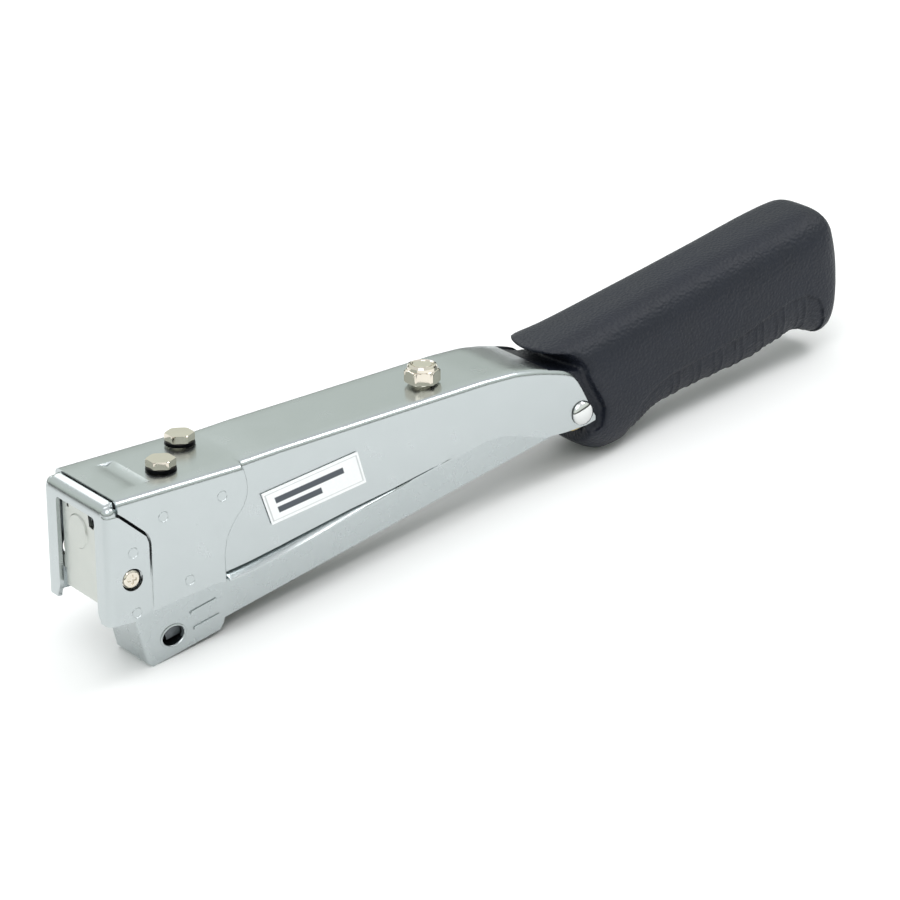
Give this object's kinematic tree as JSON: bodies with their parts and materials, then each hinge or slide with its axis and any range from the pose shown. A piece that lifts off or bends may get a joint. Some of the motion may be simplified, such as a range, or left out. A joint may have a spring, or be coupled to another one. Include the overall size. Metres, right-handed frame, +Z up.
{
  "type": "hammer tacker staple gun",
  "caption": "Striking staple gun: pressed metal body with a windowed head, spring-returned swinging magazine nose and follower, bolted driver, and a long rubber-covered handle.",
  "frame": {"origin": "middle of the length and width, on the surface that the tool stands on", "axes": "+X towards the handle end, +Z up, -Y is the side that carries the label; the tool stands on the nose foot and the chin of its grip"},
  "size_m": [0.292, 0.0362, 0.0622],
  "materials": {
    "chrome_sheet": "satin-bright chromed pressed steel",
    "magazine_chrome": "satin-bright chromed pressed steel",
    "rivet_chrome": "polished domed rivet",
    "plate_steel": "nickel-plated stamped steel",
    "block_steel": "plain machined steel",
    "spring_steel": "oiled spring steel",
    "nickel": "warm bright nickel plate",
    "yellow_zinc": "yellow passivated zinc plate",
    "grip_rubber": "fine-grained moulded rubber, dark blue-grey",
    "bumper_rubber": "plain black rubber",
    "nylon": "natural nylon",
    "label": "white printed film"
  },
  "bodies": {
    "tool_body": {"driver_blade": "spring_steel", "handle_tang": "yellow_zinc", "handle_grip": "grip_rubber", "tang_rivet": "block_steel", "outer_shell": "chrome_sheet", "front_cover": "chrome_sheet", "window_plate": "plate_steel", "driver_block": "block_steel", "head_bolt_front": "nickel", "head_bolt_rear": "nickel", "side_screw_near": "nickel", "side_screw_far": "nickel", "cover_spacer": "block_steel", "stop_stud": "nickel", "lock_nut": "nickel", "lock_nut_insert": "nylon", "bumper_plate": "block_steel", "rubber_bumper": "bumper_rubber", "label_plate": "label", "pivot_rivet": "rivet_chrome"},
    "magazine": {"magazine_housing": "magazine_chrome", "staple_rail": "block_steel", "spring_seat": "block_steel", "guide_rod": "block_steel", "seat_pin": "block_steel", "pivot_bush": "yellow_zinc", "return_spring": "spring_steel", "follower_spring": "spring_steel"},
    "follower_assembly": {"follower": "block_steel", "follower_tab": "block_steel"}
  },
  "joints": [
    {"name": "magazine_swing", "type": "hinge", "parent": "tool_body", "child": "magazine", "pos_m": [0.03196, 0, 0.02031], "axis": [0, 1, 0], "range_deg": [0, 7.2], "stiffness_Nm_per_rad": 4, "springref_deg": -28.65, "deforming": ["return_spring"]},
    {"name": "follower_slide", "type": "slide", "parent": "magazine", "child": "follower_assembly", "axis": [0.9977, 0, 0.068], "range_m": [0, 0.084], "stiffness_N_per_m": 30, "springref_m": -0.2, "deforming": ["follower_spring"]}
  ]
}
